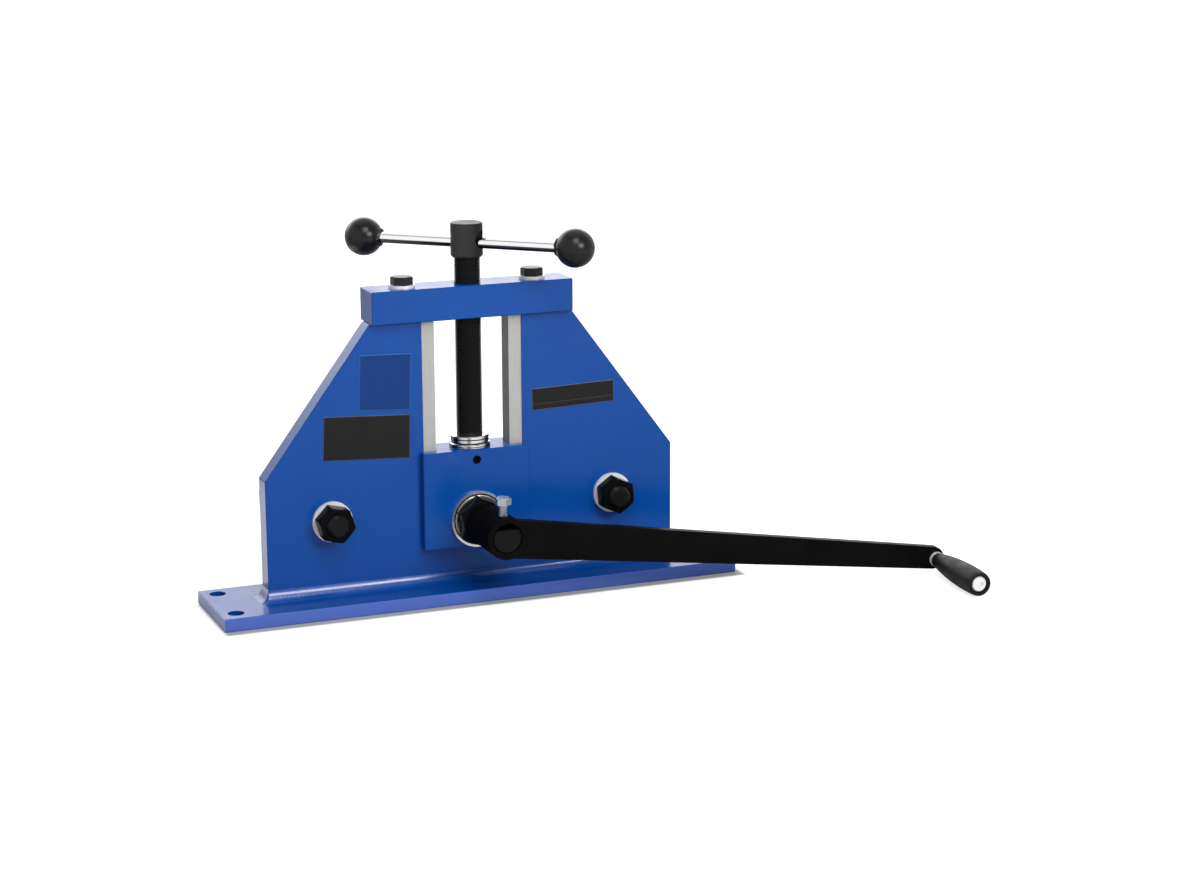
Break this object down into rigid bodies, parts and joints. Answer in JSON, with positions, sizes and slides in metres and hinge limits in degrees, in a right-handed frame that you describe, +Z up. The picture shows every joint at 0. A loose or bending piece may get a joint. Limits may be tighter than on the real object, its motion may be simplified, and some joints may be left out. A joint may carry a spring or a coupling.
{
  "type": "ring roller",
  "caption": "Bench ring roller: two grooved idle rollers, a cranked drive roller on a slide block, and a press screw with a tommy bar.",
  "frame": {"origin": "centre of the foot plate's underside, below the press screw's axis", "axes": "+X to the crank's side along the foot plate, +Y to the rear where the rollers are, +Z up along the press screw"},
  "size_m": [0.6753, 0.3206, 0.3407],
  "materials": {
    "blue_paint": "glossy royal-blue paint",
    "ground_steel": "ground, bare",
    "black_oxide": "black oxide, satin",
    "zinc_steel": "bright zinc plating",
    "bearing_steel": "hardened and polished",
    "bronze": "plain bearing bronze",
    "chrome_bar": "polished chrome",
    "black_knob": "polished black plastic",
    "crank_paint": "black paint, satin",
    "grip_plastic": "moulded, matte dark grey",
    "roller_steel": "turned steel"
  },
  "bodies": {
    "root": {"base_plate": "blue_paint", "main_plate": "blue_paint", "weld_bead": "blue_paint", "guide_rail_left": "ground_steel", "guide_rail_right": "ground_steel", "top_bar": "blue_paint", "top_bar_bolts": "black_oxide", "top_bar_washers": "zinc_steel", "idle_axle_left": "black_oxide", "idle_axle_right": "black_oxide", "axle_washers": "zinc_steel", "axle_nuts": "black_oxide", "idle_end_washers": "zinc_steel", "idle_end_bolts": "black_oxide"},
    "slide": {"slide_block": "blue_paint", "shaft_bushes": "bronze", "lock_screw": "black_oxide", "bearing_lower_race": "bearing_steel"},
    "screw": {"press_screw": "black_oxide", "bearing_upper_race": "bearing_steel", "bearing_balls": "bearing_steel", "bearing_cage": "bearing_steel"},
    "tommy": {"tommy_bar": "chrome_bar", "knob_left": "black_knob", "knob_right": "black_knob"},
    "crank": {"drive_shaft": "black_oxide", "drive_key": "black_oxide", "drive_core": "roller_steel", "drive_disc_inner": "roller_steel", "drive_disc_middle": "roller_steel", "drive_disc_outer": "roller_steel", "drive_end_washer": "zinc_steel", "drive_end_bolt": "black_oxide", "thrust_washer": "zinc_steel", "lock_washer": "zinc_steel", "shaft_nut": "black_oxide", "crank_hub": "crank_paint", "set_bolt": "zinc_steel", "crank_arm": "crank_paint", "grip_spindle": "zinc_steel", "grip_washer": "zinc_steel"},
    "grip": {"hand_grip": "grip_plastic"},
    "idle_left": {"idle_core_left": "roller_steel", "idle_left_disc_inner": "roller_steel", "idle_left_disc_middle": "roller_steel", "idle_left_disc_outer": "roller_steel", "idle_bushes_left": "bronze"},
    "idle_right": {"idle_core_right": "roller_steel", "idle_right_disc_inner": "roller_steel", "idle_right_disc_middle": "roller_steel", "idle_right_disc_outer": "roller_steel", "idle_bushes_right": "bronze"}
  },
  "joints": [
    {"name": "screw_turn", "type": "hinge", "parent": "slide", "child": "screw", "pos_m": [0, 0, 0.2], "axis": [0, 0, 1], "range_deg": [0, 18000]},
    {"name": "block_slide", "type": "slide", "parent": "root", "child": "slide", "axis": [0, 0, 1], "range_m": [0, 0.1]},
    {"name": "tommy_slide", "type": "slide", "parent": "screw", "child": "tommy", "axis": [0.7278, -0.6858, 0], "range_m": [-0.065, 0.065]},
    {"name": "crank_turn", "type": "hinge", "parent": "slide", "child": "crank", "pos_m": [0, 0, 0.0709], "axis": [0, 1, 0], "continuous": true},
    {"name": "grip_spin", "type": "hinge", "parent": "crank", "child": "grip", "pos_m": [0.42019, -0.12259, 0.01233], "axis": [-0.0602, -0.9982, -0.0023], "continuous": true},
    {"name": "idle_left_spin", "type": "hinge", "parent": "root", "child": "idle_left", "pos_m": [-0.1355, 0, 0.0802], "axis": [0, 1, 0], "continuous": true},
    {"name": "idle_right_spin", "type": "hinge", "parent": "root", "child": "idle_right", "pos_m": [0.1355, 0, 0.0802], "axis": [0, 1, 0], "continuous": true}
  ],
  "couplings": [
    {"joint": "screw_turn", "follows": "block_slide", "rad_per_m": 3141.6}
  ]
}
